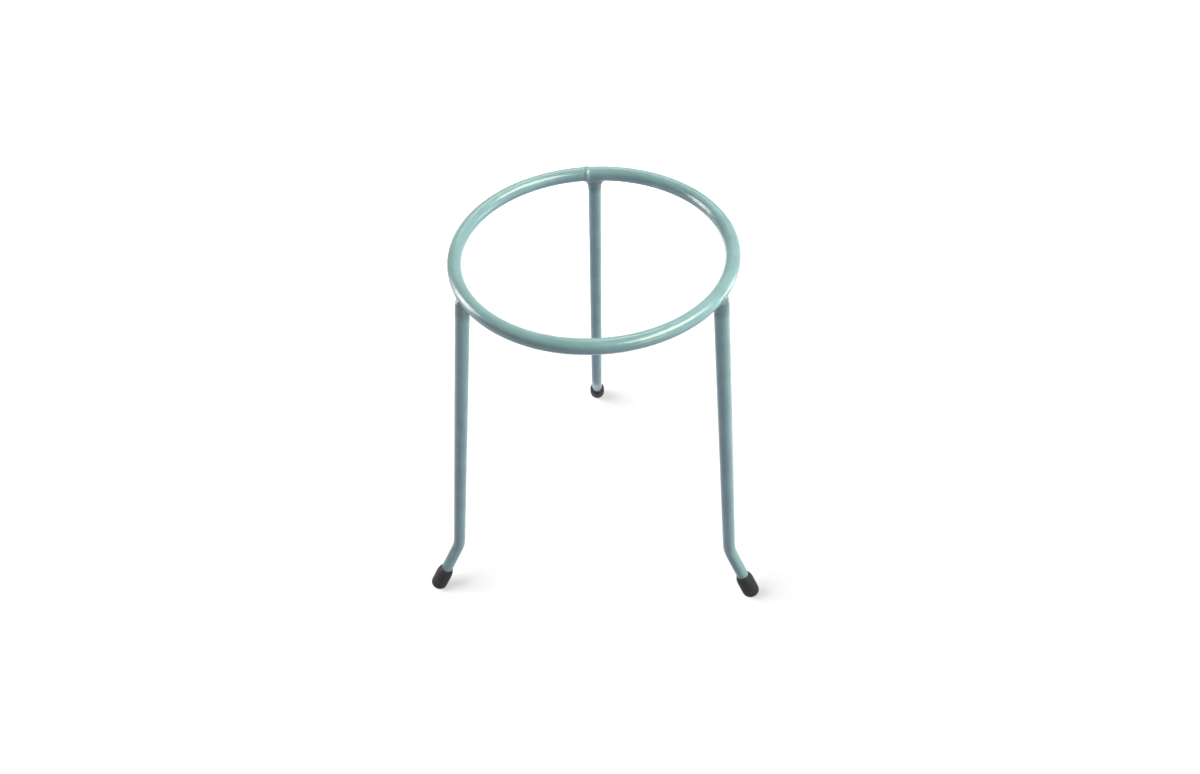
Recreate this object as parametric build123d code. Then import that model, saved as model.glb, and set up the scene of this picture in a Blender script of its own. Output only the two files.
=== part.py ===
"""Lab tripod stand: a ring of round bar on three splayed legs, each with a rubber cap on its foot."""
from build123d import *
from math import cos, degrees, radians, sin, sqrt
import os

# The stand as a whole, in millimetres
STAND_HEIGHT = 200.0
RING_OUTER_DIAMETER = 125.0
BAR_DIAMETER = 6.4

# The legs in their order round the ring, evenly spaced, and the back leg's place in degrees from +X
LEG_NAMES = ("back", "left", "right")
BACK_LEG_ANGLE = 90.0
FULL_TURN_ANGLE = 360.0

# One leg: its slope and the slope of its foot are in degrees from the vertical
LEG_SLOPE = 9.2
FOOT_SLOPE = 31.4
KNEE_HEIGHT = 32.2
KNEE_BEND_RADIUS = 22.0
LEG_OUTSET = 1.2
LEG_SET_IN = 0.4

# The weld between a leg and the ring: a small concave fillet all round the leg's top, and wide ones
# along the ring on either side of it, which stand on a web set in from the leg's middle
WELD_ROUND_RADIUS = 1.2
WELD_SIDE_RADIUS = 4.6
WELD_WEB_THICKNESS = 3.6
WELD_WEB_INSET = 1.1
WELD_TOE = 0.08
WELD_TAIL_LENGTH = 5.7
WELD_RISE = 2.2
WELD_DROP = 1.0

# The butt weld that closes the ring, beside the back leg
SEAM_GAP = 1.6
SEAM_CROWN = 0.3
SEAM_OFFSET = 3.7

# One rubber cap, measured along the foot
CAP_LENGTH = 16.0
CAP_DIAMETER = 9.4
CAP_END_THICKNESS = 3.0
CAP_END_ROUNDING = 3.6
CAP_SHOULDER_LENGTH = 4.5
CAP_LIP_THICKNESS = 0.4
CAP_LIP_ROUNDING = 0.2
CAP_FLAT_DEPTH = 0.3

# How far a cutting tool runs past what it cuts
OVERRUN = 5.0

# Worked out from the sizes above
bar_radius = BAR_DIAMETER / 2
ring_radius = RING_OUTER_DIAMETER / 2 - bar_radius
ring_height = STAND_HEIGHT - bar_radius
seam_angle = BACK_LEG_ANGLE + degrees(SEAM_OFFSET / ring_radius)
seam_half_angle = degrees(SEAM_GAP / ring_radius) / 2
leg_spacing = FULL_TURN_ANGLE / len(LEG_NAMES)
leg_slope = radians(LEG_SLOPE)
foot_slope = radians(FOOT_SLOPE)

# A leg is drawn in the XZ plane, going out along +X, and is then turned to its place
leg_direction = Vector(sin(leg_slope), 0, -cos(leg_slope))
foot_direction = Vector(sin(foot_slope), 0, -cos(foot_slope))
leg_root = Vector(ring_radius + LEG_OUTSET, 0, ring_height)
leg_top = leg_root + leg_direction * (bar_radius - LEG_SET_IN)
knee = leg_root + leg_direction * ((ring_height - KNEE_HEIGHT) / cos(leg_slope))
weld_depth = BAR_DIAMETER + WELD_SIDE_RADIUS + OVERRUN

# The cap's rounded end dips below the floor by the depth of the flat that is then cut on it
cap_radius = CAP_DIAMETER / 2
rounding_drop = CAP_END_ROUNDING * (1 - cos(foot_slope))
edge_drop = (cap_radius - CAP_END_ROUNDING) * sin(foot_slope)
cap_end_height = rounding_drop + edge_drop - CAP_FLAT_DEPTH
cap_end = knee + foot_direction * ((KNEE_HEIGHT - cap_end_height) / cos(foot_slope))
foot_end = cap_end - foot_direction * CAP_END_THICKNESS
cap_rim = cap_end - foot_direction * CAP_LENGTH


def at_leg(shape, name):
    """Turns a shape drawn for a leg along +X to that leg's place."""
    return Rot(Z=BACK_LEG_ANGLE + leg_spacing * LEG_NAMES.index(name)) * shape


def make_ring():
    """Round bar bent to a circle, open at the seam."""
    section = Plane.XZ * Pos(ring_radius, ring_height) * Circle(bar_radius)
    bent_bar = revolve(section, Axis.Z, revolution_arc=FULL_TURN_ANGLE - 2 * seam_half_angle)
    return Rot(Z=seam_angle + seam_half_angle) * bent_bar


def make_seam_weld(ring):
    """A bead that fills the seam and stands a little proud of the bar all round."""
    crown_radius = bar_radius + SEAM_CROWN
    toe_radius = bar_radius - SEAM_CROWN
    half_width = SEAM_GAP
    crown = ThreePointArc((-half_width, toe_radius), (0, crown_radius), (half_width, toe_radius))
    sides = Polyline((half_width, toe_radius), (half_width, 0), (-half_width, 0), (-half_width, toe_radius))
    bead = revolve(make_face(crown + sides), Axis.X)
    along_ring = Plane(origin=(ring_radius, 0, ring_height), x_dir=(0, 1, 0), z_dir=(0, 0, 1))
    return Rot(Z=seam_angle) * (along_ring * bead) - ring


def make_leg(name, ring, seam_weld):
    """Bent bar whose top is set against the ring's underside and coped to it."""
    path = FilletPolyline(leg_top, knee, foot_end, radius=KNEE_BEND_RADIUS)
    section = Plane(origin=leg_top, z_dir=leg_direction) * Circle(bar_radius)
    bar = sweep(section, path=path)
    return at_leg(bar, name) - ring - seam_weld


def ring_skin(skin_radius):
    """The stretch of the ring over a leg, a little thicker than the bar."""
    half_arc = degrees((bar_radius + WELD_TAIL_LENGTH + OVERRUN) / ring_radius)
    section = Plane.XZ * Pos(ring_radius, ring_height) * Circle(skin_radius)
    return Rot(Z=-half_arc) * revolve(section, Axis.Z, revolution_arc=2 * half_arc)


def round_fillet():
    """Ring and leg, both a weld's toe thicker, with a small concave fillet all round the leg's domed top."""
    skin_radius = bar_radius + WELD_TOE
    over_ring = ring_skin(skin_radius)
    over_leg = extrude(Plane(origin=leg_top, z_dir=leg_direction) * Circle(skin_radius), weld_depth)
    over_leg += Pos(leg_top) * Sphere(skin_radius)
    skin = over_ring + over_leg
    return fillet(new_edges(over_ring, over_leg, combined=skin), WELD_ROUND_RADIUS)


def side_fillets():
    """Ring and a web inside the leg, with wide concave fillets that run out along the ring."""
    skin_radius = bar_radius + WELD_TOE / 2
    over_ring = ring_skin(skin_radius)
    web_half_width = sqrt(skin_radius ** 2 - WELD_WEB_INSET ** 2)
    web_top = leg_root - Vector(WELD_WEB_INSET, 0, 0)
    under_ring = Plane(origin=web_top, x_dir=(0, 1, 0), z_dir=leg_direction)
    web = extrude(under_ring * Ellipse(web_half_width, WELD_WEB_THICKNESS / 2), weld_depth)
    skin = over_ring + web
    return fillet(new_edges(over_ring, web, combined=skin), WELD_SIDE_RADIUS)


def weld_zone():
    """The spindle-shaped stretch along the ring, round the leg's top, that the weld fills."""
    half_length = bar_radius + WELD_TAIL_LENGTH
    outline = ThreePointArc((-half_length, 0), (0, bar_radius + WELD_RISE), (half_length, 0))
    spindle = revolve(make_face(outline + Line((half_length, 0), (-half_length, 0))), Axis.X)
    middle = leg_root + leg_direction * (bar_radius + WELD_DROP)
    return Plane(origin=middle, x_dir=(0, 1, 0), z_dir=(0, 0, 1)) * spindle


def make_leg_weld(name, ring, seam_weld, leg):
    """Weld metal that holds a leg under the ring and covers the leg's square end."""
    zone = weld_zone()
    metal = (round_fillet() & zone) + (side_fillets() & zone)
    return at_leg(metal, name) - ring - seam_weld - leg


def make_foot_cap(name):
    """Moulded cap with a blind bore, a domed shoulder that thins to a lip on the bar, and a rounded end.

    A small flat on the end is where it stands on the floor."""
    lip_radius = bar_radius + CAP_LIP_THICKNESS
    bore_depth = CAP_LENGTH - CAP_END_THICKNESS
    shoulder = TangentArc((cap_radius, CAP_SHOULDER_LENGTH), (lip_radius, 0), tangent=(0, -1))
    sides = Polyline(
        (lip_radius, 0),
        (bar_radius, 0),
        (bar_radius, bore_depth),
        (0, bore_depth),
        (0, CAP_LENGTH),
        (cap_radius, CAP_LENGTH),
        (cap_radius, CAP_SHOULDER_LENGTH),
    )
    outline = make_face(shoulder + sides)
    end_corner = outline.vertices().sort_by_distance((cap_radius, CAP_LENGTH))[0]
    outline = fillet(end_corner, CAP_END_ROUNDING)
    lip_corner = outline.vertices().sort_by_distance((lip_radius, 0))[0]
    outline = fillet(lip_corner, CAP_LIP_ROUNDING)
    along_foot = Plane(origin=cap_rim, x_dir=(0, 1, 0), z_dir=foot_direction)
    cap = along_foot * Rot(X=90) * revolve(outline, Axis.Y)
    below_floor = Pos(X=cap_end.X) * Box(
        2 * CAP_LENGTH, 2 * CAP_LENGTH, OVERRUN, align=(Align.CENTER, Align.CENTER, Align.MAX)
    )
    return at_leg(cap - below_floor, name)


def write(shape, name):
    """Writes one piece as a STEP file named for its node."""
    shape.label = name
    export_step(shape, os.path.join("parts", name + ".step"))


os.makedirs("parts", exist_ok=True)
ring = make_ring()
seam_weld = make_seam_weld(ring)
write(ring, "ring")
write(seam_weld, "ring_seam_weld")
for leg_name in LEG_NAMES:
    leg = make_leg(leg_name, ring, seam_weld)
    write(leg, leg_name + "_leg")
    write(make_leg_weld(leg_name, ring, seam_weld, leg), leg_name + "_leg_weld")
    write(make_foot_cap(leg_name), leg_name + "_foot_cap")
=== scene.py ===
"""Looks of the lab tripod stand.

Stoved enamel on the welded bar, rubber on the foot caps, and a plain pale stage."""

import math

import bpy
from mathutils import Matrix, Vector


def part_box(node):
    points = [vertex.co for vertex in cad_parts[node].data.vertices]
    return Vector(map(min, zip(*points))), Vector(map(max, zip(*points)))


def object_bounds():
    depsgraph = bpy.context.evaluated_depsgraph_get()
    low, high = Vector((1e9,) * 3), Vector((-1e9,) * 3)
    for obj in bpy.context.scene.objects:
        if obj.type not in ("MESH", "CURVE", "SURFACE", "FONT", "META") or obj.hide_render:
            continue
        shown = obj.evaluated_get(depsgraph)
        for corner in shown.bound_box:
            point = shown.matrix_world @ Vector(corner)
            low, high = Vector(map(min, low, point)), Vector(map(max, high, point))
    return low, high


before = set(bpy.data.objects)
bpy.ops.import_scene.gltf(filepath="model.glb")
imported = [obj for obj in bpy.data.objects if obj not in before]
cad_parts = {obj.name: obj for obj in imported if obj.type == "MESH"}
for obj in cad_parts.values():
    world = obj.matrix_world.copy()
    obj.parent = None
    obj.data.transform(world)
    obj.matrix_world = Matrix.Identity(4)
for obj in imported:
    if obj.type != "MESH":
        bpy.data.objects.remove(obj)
cad_low, cad_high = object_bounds()

bl_info = {
    "name": "Lab tripod stand",
    "version": (1, 0, 0),
    "blender": (4, 5, 0),
    "location": "3D View > Sidebar > Tripod",
    "description": "Finishes the packed tripod stand and sets its studio",
    "category": "Object",
}

RING_NODES = ("ring", "ring_seam_weld")
LEG_NODES = ("back_leg", "left_leg", "right_leg")
WELD_NODES = ("back_leg_weld", "left_leg_weld", "right_leg_weld")
CAP_NODES = ("back_foot_cap", "left_foot_cap", "right_foot_cap")

# Typical refractive indices of a stoved film and of filled rubber
ENAMEL_IOR = 1.52
RUBBER_IOR = 1.52

# How far the roughness of a finish wanders from its set value, as a share of it
SMOOTHEST = 0.75
DULLEST = 1.3

# Where the painted shade round a joint is at its full depth, as a share of its reach
JOINT_SHADE_CORE = 0.5

# Width of a patch of bloom on the rubber, in pits of its grain
PITS_PER_BLOOM = 8

# The floor's glow by distance from its middle, in metres: faint under the stand, where the shadow
# falls, strong from a little outside the feet, and white far off
GLOW_RISES = 0.12
GLOW_LEVELS = 0.35
GLOW_ENDS = 1.5
GLOW_UNDER = 0.15
GLOW_ROUND = 0.85

# Sockets of a Mix node that blends colours, by number because their names repeat
MIX_SHARE, MIX_FIRST, MIX_SECOND, MIX_COLOUR = 0, 6, 7, 2

# What every colour setting has in common
COLOUR = {"subtype": "COLOR", "size": 4, "min": 0.0, "max": 1.0}

WHITE = (1.0, 1.0, 1.0, 1.0)
PLAIN_LIGHT = "#FFFFFF"
WARM_LIGHT = "#FFF7DF"

# The camera's sensor in millimetres, and the distances in metres between which it sees
SENSOR_WIDTH = 36.0
CLIP_START = 0.01
CLIP_END = 50.0


def linear(hex_colour):
    """An sRGB hex colour as linear red, green, blue and alpha."""
    shares = [int(hex_colour[i:i + 2], 16) / 255 for i in (1, 3, 5)]
    return tuple(
        s / 12.92 if s <= 0.04045 else ((s + 0.055) / 1.055) ** 2.4 for s in shares) + (1.0,)


def add_node(tree, kind, settings=None, inputs=None):
    """Adds a node, sets its properties, and fills its sockets with values or links."""
    made = tree.nodes.new(kind)
    for name, value in (settings or {}).items():
        setattr(made, name, value)
    for name, value in (inputs or {}).items():
        if isinstance(value, bpy.types.NodeSocket):
            tree.links.new(value, made.inputs[name])
        else:
            made.inputs[name].default_value = value
    return made


def new_material(name):
    """An empty node material and its tree."""
    material = bpy.data.materials.new(name)
    material.use_nodes = True
    material.node_tree.nodes.clear()
    return material, material.node_tree


def dress(names, material):
    """Puts a material on the slots of the CAD nodes named."""
    for name in names:
        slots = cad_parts[name].material_slots
        if not slots:
            raise RuntimeError("CAD node " + name + " has no material slot")
        for slot in slots:
            slot.material = material


def joint_middles():
    """Where each leg meets the ring: the middle of its weld's box."""
    return [sum(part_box(name), Vector()) / 2 for name in WELD_NODES]


class EnamelSettings(bpy.types.PropertyGroup):
    """The enamel film on the ring, the legs and their welds."""

    colour: bpy.props.FloatVectorProperty(
        name="Colour", description="The film where it is even",
        default=linear("#8FBAB7"), **COLOUR)
    thin_colour: bpy.props.FloatVectorProperty(
        name="Thin colour", description="The film where it ran thin",
        default=linear("#9AC6C3"), **COLOUR)
    # Painted shade: a deeper green that the film takes round each joint, where the legs meet the
    # ring
    joint_shade_colour: bpy.props.FloatVectorProperty(
        name="Pooled colour", description="The film where it gathered in a weld's fillet",
        default=linear("#7B9E9A"), **COLOUR)
    cloud_size: bpy.props.FloatProperty(
        name="Cloud size", description="Width of the thick and thin patches",
        unit="LENGTH", default=0.012)
    peel_size: bpy.props.FloatProperty(
        name="Orange peel size", description="Width of one ripple of the film",
        unit="LENGTH", default=0.0022)
    peel_height: bpy.props.FloatProperty(
        name="Orange peel height", description="Height of the ripples",
        unit="LENGTH", default=0.00008)
    # How far the painted shade reaches from each joint
    joint_shade_reach: bpy.props.FloatProperty(
        name="Pool reach", description="How far the gathered film reaches from a joint",
        unit="LENGTH", default=0.008)
    roughness: bpy.props.FloatProperty(
        name="Roughness", description="Roughness of the even film",
        subtype="FACTOR", min=0, max=1, default=0.2)


class RubberSettings(bpy.types.PropertyGroup):
    """The moulded rubber of the foot caps."""

    colour: bpy.props.FloatVectorProperty(
        name="Colour", description="Clean rubber",
        default=linear("#1A191B"), **COLOUR)
    dust_colour: bpy.props.FloatVectorProperty(
        name="Dust colour", description="Bloom and dust on the rubber",
        default=linear("#302F32"), **COLOUR)
    grain_size: bpy.props.FloatProperty(
        name="Grain size", description="Width of one pit of the mould's grain",
        unit="LENGTH", default=0.0006)
    grain_height: bpy.props.FloatProperty(
        name="Grain height", description="Depth of the mould's grain",
        unit="LENGTH", default=0.00012)
    roughness: bpy.props.FloatProperty(
        name="Roughness", description="Roughness of clean rubber",
        subtype="FACTOR", min=0, max=1, default=0.62)
    gloss: bpy.props.FloatProperty(
        name="Gloss", description="Gloss that the pits let out, where 0.5 is all of it",
        subtype="FACTOR", min=0, max=0.5, default=0.35)


class StageSettings(bpy.types.PropertyGroup):
    """Floor, room light and camera."""

    floor_size: bpy.props.FloatProperty(
        name="Floor size", description="Length of the floor's side",
        unit="LENGTH", default=12.0)
    paper_colour: bpy.props.FloatVectorProperty(
        name="Paper colour", description="The floor's paper as it is seen",
        default=linear("#D0D0D0"), **COLOUR)
    bounce_colour: bpy.props.FloatVectorProperty(
        name="Bounce colour", description="The paper as it throws light back on the stand",
        default=linear("#827D99"), **COLOUR)
    ambient: bpy.props.FloatProperty(
        name="Ambient", description="Light from the room all round",
        default=0.05)
    camera_place: bpy.props.FloatVectorProperty(
        name="Camera place", description="Where the camera stands",
        subtype="TRANSLATION", unit="LENGTH", size=3,
        default=(0.0085246, -0.2877978, 0.4076513))
    camera_turn: bpy.props.FloatVectorProperty(
        name="Camera turn", description="How the camera is turned",
        subtype="EULER", unit="ROTATION", size=3,
        default=(math.radians(36.73074), math.radians(4.1036), math.radians(4.07148)))
    camera_lens: bpy.props.FloatProperty(
        name="Lens", description="Focal length of the camera, in millimetres",
        unit="CAMERA", default=23.79614)
    camera_shift: bpy.props.FloatVectorProperty(
        name="Shift", description="Shift of the frame, as a share of its width",
        size=2, default=(0.05955, 0.09158))


def stoved_enamel(settings):
    """Stoved enamel, sprayed on steel bar: a glossy film, thin in patches, with painted shade at
    joints.

    It gives the eye clear reflections that waver a little, and a slightly deeper green round each
    joint, which is painted shade where the legs meet the ring. Its orange peel is drawn coarser
    and deeper than a real one, so that it shows."""
    material, tree = new_material("stoved_enamel_grey_green")
    place = add_node(tree, "ShaderNodeTexCoord").outputs["Object"]
    clouds = add_node(tree, "ShaderNodeTexNoise", inputs={
        "Vector": place, "Scale": 1 / settings.cloud_size,
        "Detail": 3.0, "Roughness": 0.55}).outputs[0]
    thin = add_node(tree, "ShaderNodeMapRange", inputs={
        "Value": clouds, "From Min": 0.35, "From Max": 0.72,
        "To Min": 0.0, "To Max": 1.0}).outputs[0]
    film = add_node(tree, "ShaderNodeMix", {"data_type": "RGBA"}, {
        MIX_SHARE: thin, MIX_FIRST: settings.colour,
        MIX_SECOND: settings.thin_colour}).outputs[MIX_COLOUR]
    # Painted shade round each joint: near where a leg meets the ring, the film turns to its joint
    # shade colour
    nearest = None
    for middle in joint_middles():
        away = add_node(tree, "ShaderNodeVectorMath", {"operation": "DISTANCE"}, {
            0: place, 1: middle}).outputs["Value"]
        if nearest is None:
            nearest = away
        else:
            nearest = add_node(tree, "ShaderNodeMath", {"operation": "MINIMUM"}, {
                0: nearest, 1: away}).outputs[0]
    joint_shade_share = add_node(tree, "ShaderNodeMapRange", {"interpolation_type": "SMOOTHSTEP"}, {
        "Value": nearest, "From Min": settings.joint_shade_reach,
        "From Max": settings.joint_shade_reach * JOINT_SHADE_CORE,
        "To Min": 0.0, "To Max": 1.0}).outputs[0]
    film = add_node(tree, "ShaderNodeMix", {"data_type": "RGBA"}, {
        MIX_SHARE: joint_shade_share, MIX_FIRST: film,
        MIX_SECOND: settings.joint_shade_colour}).outputs[MIX_COLOUR]
    gloss = add_node(tree, "ShaderNodeMapRange", inputs={
        "Value": clouds, "From Min": 0.3, "From Max": 0.7,
        "To Min": settings.roughness * SMOOTHEST,
        "To Max": settings.roughness * DULLEST}).outputs[0]
    peel = add_node(tree, "ShaderNodeTexNoise", inputs={
        "Vector": place, "Scale": 1 / settings.peel_size, "Detail": 1.0}).outputs[0]
    ripple = add_node(tree, "ShaderNodeBump", inputs={
        "Height": peel, "Distance": settings.peel_height, "Strength": 1.0}).outputs[0]
    shader = add_node(tree, "ShaderNodeBsdfPrincipled", inputs={
        "Base Color": film, "Roughness": gloss, "IOR": ENAMEL_IOR, "Metallic": 0.0,
        "Normal": ripple})
    add_node(tree, "ShaderNodeOutputMaterial", inputs={"Surface": shader.outputs[0]})
    return material


def moulded_rubber(settings):
    """Black rubber, moulded in a spark-eroded tool: matt, finely pitted, dusty in the pits.

    It gives the eye a soft broad sheen that breaks up into grain close to. The grain is drawn
    coarser and deeper than a real mould's, so that it shows."""
    material, tree = new_material("moulded_rubber_black")
    place = add_node(tree, "ShaderNodeTexCoord").outputs["Object"]
    grain = add_node(tree, "ShaderNodeTexNoise", inputs={
        "Vector": place, "Scale": 1 / settings.grain_size,
        "Detail": 3.0, "Roughness": 0.6}).outputs[0]
    bloom = add_node(tree, "ShaderNodeTexNoise", inputs={
        "Vector": place, "Scale": 1 / (settings.grain_size * PITS_PER_BLOOM),
        "Detail": 4.0, "Roughness": 0.65}).outputs[0]
    dusty = add_node(tree, "ShaderNodeMapRange", inputs={
        "Value": bloom, "From Min": 0.45, "From Max": 0.8,
        "To Min": 0.0, "To Max": 0.7}).outputs[0]
    colour = add_node(tree, "ShaderNodeMix", {"data_type": "RGBA"}, {
        MIX_SHARE: dusty, MIX_FIRST: settings.colour,
        MIX_SECOND: settings.dust_colour}).outputs[MIX_COLOUR]
    dull = add_node(tree, "ShaderNodeMapRange", inputs={
        "Value": bloom, "From Min": 0.3, "From Max": 0.7,
        "To Min": settings.roughness,
        "To Max": settings.roughness * DULLEST}).outputs[0]
    pits = add_node(tree, "ShaderNodeBump", inputs={
        "Height": grain, "Distance": settings.grain_height, "Strength": 1.0}).outputs[0]
    shader = add_node(tree, "ShaderNodeBsdfPrincipled", inputs={
        "Base Color": colour, "Roughness": dull, "IOR": RUBBER_IOR,
        "Specular IOR Level": settings.gloss, "Metallic": 0.0, "Normal": pits})
    add_node(tree, "ShaderNodeOutputMaterial", inputs={"Surface": shader.outputs[0]})
    return material


def seen_directly(tree):
    """1 for rays from the camera, in reflections and through glass, 0 for light that bounces."""
    path = add_node(tree, "ShaderNodeLightPath")
    shown = path.outputs["Is Camera Ray"]
    for name in ("Is Glossy Ray", "Is Transmission Ray"):
        shown = add_node(tree, "ShaderNodeMath", {"operation": "MAXIMUM"}, {
            0: shown, 1: path.outputs[name]}).outputs[0]
    return shown


def studio_paper(settings):
    """Matt white paper: a white ground for the eye, with the object's soft shadow kept.

    It glows more away from the object, where the lamps no longer reach, so that it stays white
    there. The light that it throws back has a tint of its own."""
    material, tree = new_material("studio_paper")
    place = add_node(tree, "ShaderNodeTexCoord").outputs["Object"]
    away = add_node(tree, "ShaderNodeVectorMath", {"operation": "LENGTH"}, {
        0: place}).outputs["Value"]
    near_glow = add_node(tree, "ShaderNodeMapRange", {"interpolation_type": "SMOOTHSTEP"}, {
        "Value": away, "From Min": GLOW_RISES, "From Max": GLOW_LEVELS,
        "To Min": GLOW_UNDER, "To Max": GLOW_ROUND}).outputs[0]
    far_glow = add_node(tree, "ShaderNodeMapRange", inputs={
        "Value": away, "From Min": GLOW_LEVELS, "From Max": GLOW_ENDS,
        "To Min": 0.0, "To Max": 1 - GLOW_ROUND}).outputs[0]
    strength = add_node(tree, "ShaderNodeMath", {"operation": "ADD"}, {
        0: near_glow, 1: far_glow}).outputs[0]
    glow = add_node(tree, "ShaderNodeEmission", inputs={
        "Color": WHITE, "Strength": strength}).outputs[0]
    paper = add_node(tree, "ShaderNodeBsdfDiffuse", inputs={
        "Color": settings.paper_colour}).outputs[0]
    bounce = add_node(tree, "ShaderNodeBsdfDiffuse", inputs={
        "Color": settings.bounce_colour}).outputs[0]
    lit = add_node(tree, "ShaderNodeAddShader", inputs={0: glow, 1: paper}).outputs[0]
    surface = add_node(tree, "ShaderNodeMixShader", inputs={
        0: seen_directly(tree), 1: bounce, 2: lit})
    add_node(tree, "ShaderNodeOutputMaterial", inputs={"Surface": surface.outputs[0]})
    return material


def light_room(scene, ambient):
    """A faint even light from all round, which is plain white where it is seen directly."""
    world = bpy.data.worlds.new("studio")
    scene.world = world
    world.use_nodes = True
    tree = world.node_tree
    tree.nodes.clear()
    room = add_node(tree, "ShaderNodeBackground", inputs={"Color": WHITE, "Strength": ambient})
    white = add_node(tree, "ShaderNodeBackground", inputs={"Color": WHITE, "Strength": 1.0})
    both = add_node(tree, "ShaderNodeMixShader", inputs={
        0: seen_directly(tree), 1: room.outputs[0], 2: white.outputs[0]})
    add_node(tree, "ShaderNodeOutputWorld", inputs={"Surface": both.outputs[0]})


def add_lamp(name, place, size, radiance, matt=True, gloss=True, only=None, tint=PLAIN_LIGHT):
    """A soft box turned to the ring's middle; its power follows from how bright its face looks.

    Without matt it is a card that shows in the gloss alone, and without gloss it shows in no
    reflection. With only, it lights that object alone, and it is the one kind that casts shadows.
    The tint is the colour of its light."""
    data = bpy.data.lights.new(name, "AREA")
    data.shape = "RECTANGLE"
    width, height = size
    data.size, data.size_y = width, height
    data.energy = radiance * math.pi * width * height
    data.color = linear(tint)[:3]
    data.use_shadow = only is not None
    lamp = bpy.data.objects.new(name, data)
    lamp.location = place
    ring_middle = Vector((0, 0, cad_high.z))
    lamp.rotation_euler = (Vector(place) - ring_middle).to_track_quat("Z", "Y").to_euler()
    lamp.visible_camera = False
    lamp.visible_diffuse = matt
    lamp.visible_glossy = gloss
    if only:
        lamp.light_linking.receiver_collection = bpy.data.collections.new(name + "_lights")
        lamp.light_linking.receiver_collection.objects.link(only)
    bpy.context.scene.collection.objects.link(lamp)


def hang_lamps(floor):
    """Boxes that light the finishes, cards that streak their gloss, and the floor's own box.

    Places and sizes are in metres."""
    add_lamp(
        "key_box", place=(0.54, 0.05, 1.04), size=(0.50, 0.40), radiance=15.3, gloss=False)
    add_lamp(
        "key_card", place=(0.618, -0.288, 0.931), size=(0.95, 0.42), radiance=13.5, matt=False,
        tint=WARM_LIGHT)
    add_lamp(
        "left_box", place=(-0.588, 0.115, 0.29), size=(0.26, 0.28), radiance=3.3)
    add_lamp(
        "left_card", place=(-0.588, 0.115, 0.29), size=(0.24, 0.36), radiance=18.0, matt=False)
    add_lamp(
        "back_left_box", place=(-0.35, 0.60, 0.16), size=(0.30, 0.30), radiance=7.0, gloss=False)
    add_lamp(
        "front_right_box", place=(0.30, -0.34, 0.24), size=(0.16, 0.12), radiance=5.0)
    add_lamp(
        "right_box", place=(0.62, -0.10, 0.09), size=(0.25, 0.18), radiance=3.5, gloss=False)
    add_lamp(
        "right_card", place=(0.36, 0.085, 0.165), size=(0.14, 0.18), radiance=5.5, matt=False)
    add_lamp(
        "back_card", place=(0.06, 0.68, 1.0), size=(0.22, 0.32), radiance=7.5, matt=False,
        tint=WARM_LIGHT)
    add_lamp(
        "floor_box", place=(-1.15, -0.11, 0.96), size=(1.2, 1.2), radiance=5.8, only=floor)


def place_camera(scene, settings):
    """The camera at the photo's angle, with the shift that its framing needs."""
    data = bpy.data.cameras.new("camera")
    data.sensor_width = SENSOR_WIDTH
    data.lens = settings.camera_lens
    data.shift_x, data.shift_y = settings.camera_shift
    data.clip_start, data.clip_end = CLIP_START, CLIP_END
    camera = bpy.data.objects.new("camera", data)
    camera.location = settings.camera_place
    camera.rotation_euler = settings.camera_turn
    scene.collection.objects.link(camera)
    scene.camera = camera


class TRIPOD_OT_ring(bpy.types.Operator):
    """Enamels the ring and its seam"""

    bl_idname = "tripod.ring"
    bl_label = "Enamel the ring"

    def execute(self, context):
        dress(RING_NODES, stoved_enamel(context.scene.tripod_enamel))
        return {"FINISHED"}


class TRIPOD_OT_legs(bpy.types.Operator):
    """Enamels the legs and their welds"""

    bl_idname = "tripod.legs"
    bl_label = "Enamel the legs"

    def execute(self, context):
        dress(LEG_NODES + WELD_NODES, stoved_enamel(context.scene.tripod_enamel))
        return {"FINISHED"}


class TRIPOD_OT_caps(bpy.types.Operator):
    """Gives the foot caps their rubber"""

    bl_idname = "tripod.caps"
    bl_label = "Mould the caps"

    def execute(self, context):
        dress(CAP_NODES, moulded_rubber(context.scene.tripod_rubber))
        return {"FINISHED"}


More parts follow.
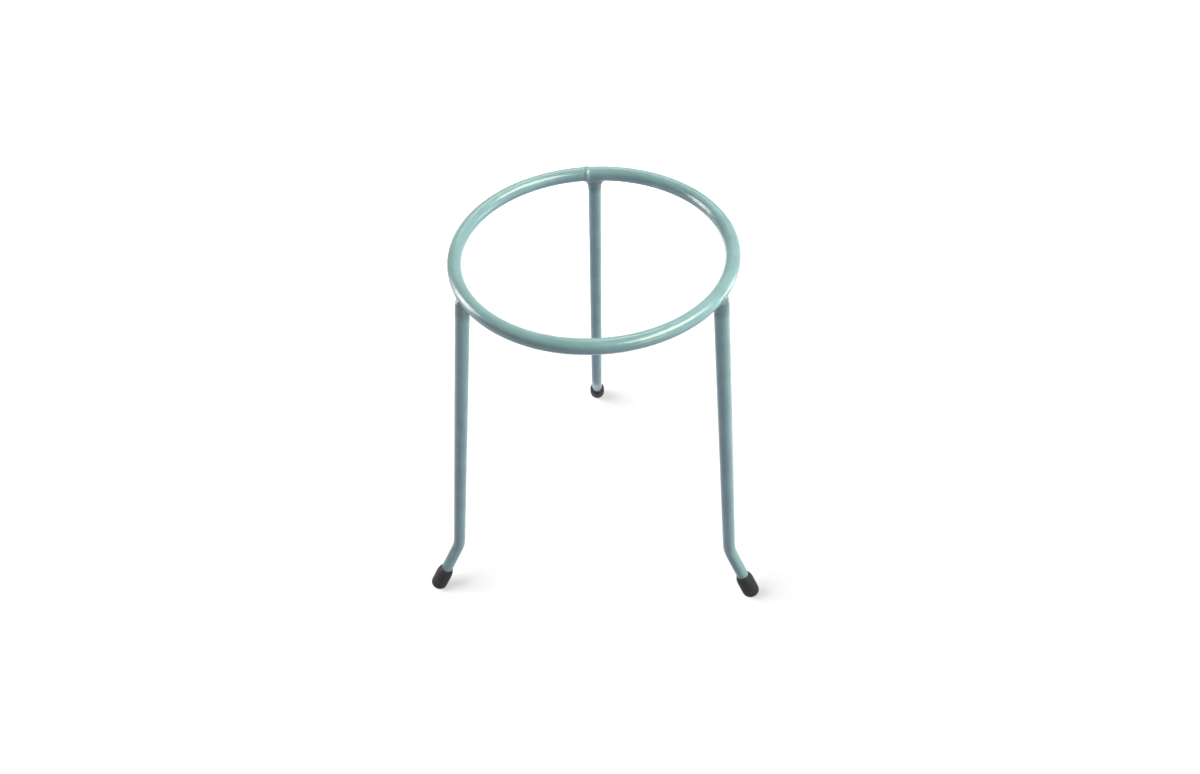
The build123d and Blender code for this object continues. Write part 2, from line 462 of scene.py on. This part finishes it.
class TRIPOD_OT_stage(bpy.types.Operator):
    """Lays the floor, hangs the lamps and places the camera"""

    bl_idname = "tripod.stage"
    bl_label = "Set the stage"

    def execute(self, context):
        settings = context.scene.tripod_stage
        bpy.ops.object.select_all(action="DESELECT")
        bpy.ops.mesh.primitive_plane_add(size=settings.floor_size)
        floor = context.active_object
        floor.name = "floor"
        floor.data.materials.append(studio_paper(settings))
        light_room(context.scene, settings.ambient)
        hang_lamps(floor)
        place_camera(context.scene, settings)
        context.scene.view_settings.view_transform = "Standard"
        return {"FINISHED"}


class TRIPOD_PT_panel(bpy.types.Panel):
    """Lists the steps and their settings"""

    bl_idname = "TRIPOD_PT_panel"
    bl_label = "Lab tripod stand"
    bl_space_type = "VIEW_3D"
    bl_region_type = "UI"
    bl_category = "Tripod"

    def draw(self, context):
        steps = (
            (context.scene.tripod_enamel, (TRIPOD_OT_ring, TRIPOD_OT_legs)),
            (context.scene.tripod_rubber, (TRIPOD_OT_caps,)),
            (context.scene.tripod_stage, (TRIPOD_OT_stage,)),
        )
        for settings, operators in steps:
            box = self.layout.box()
            for name in settings.__annotations__:
                box.prop(settings, name)
            for operator in operators:
                box.operator(operator.bl_idname)


SETTINGS = {
    "tripod_enamel": EnamelSettings,
    "tripod_rubber": RubberSettings,
    "tripod_stage": StageSettings,
}
STEPS = (TRIPOD_OT_ring, TRIPOD_OT_legs, TRIPOD_OT_caps, TRIPOD_OT_stage, TRIPOD_PT_panel)


def register():
    """Makes the settings, the steps and the panel known to Blender."""
    for name, group in SETTINGS.items():
        bpy.utils.register_class(group)
        setattr(bpy.types.Scene, name, bpy.props.PointerProperty(type=group))
    for step in STEPS:
        bpy.utils.register_class(step)


def unregister():
    """Takes them away again."""
    for step in reversed(STEPS):
        bpy.utils.unregister_class(step)
    for name, group in SETTINGS.items():
        delattr(bpy.types.Scene, name)
        bpy.utils.unregister_class(group)


def main():
    register()
    bpy.ops.tripod.ring()
    bpy.ops.tripod.legs()
    bpy.ops.tripod.caps()
    bpy.ops.tripod.stage()


if __name__ == "__main__":
    main()
